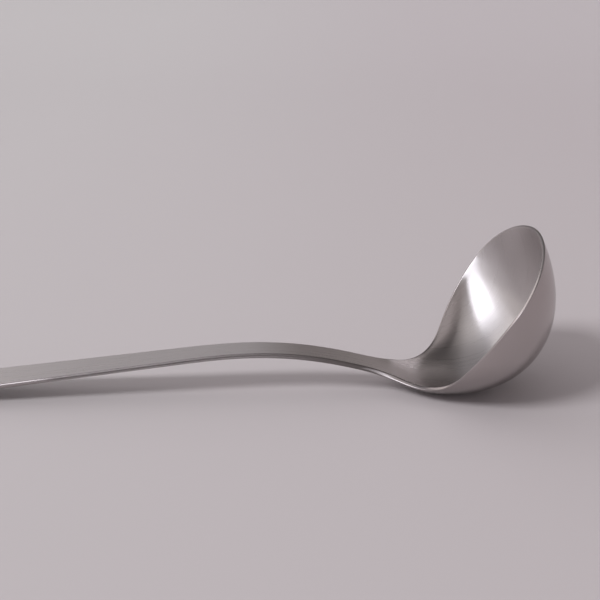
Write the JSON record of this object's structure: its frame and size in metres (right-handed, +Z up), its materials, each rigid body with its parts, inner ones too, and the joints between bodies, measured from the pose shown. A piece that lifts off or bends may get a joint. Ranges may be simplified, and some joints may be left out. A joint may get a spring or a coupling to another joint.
{
  "type": "ladle",
  "caption": "One-piece steel soup ladle: a round, deep bowl that tips up at rest and flows through a flared neck into a long arched handle.",
  "frame": {"origin": "middle of the bounding box, on the floor that the ladle rests on", "axes": "+X along the ladle, from the end of the handle towards the bowl; +Z up as it rests; the ladle is symmetric about the XZ plane"},
  "size_m": [0.3372, 0.0798, 0.08],
  "materials": {
    "steel": "satin, brushed along the handle and across the bowl"
  },
  "bodies": {
    "root": {"ladle": "steel"}
  },
  "joints": []
}
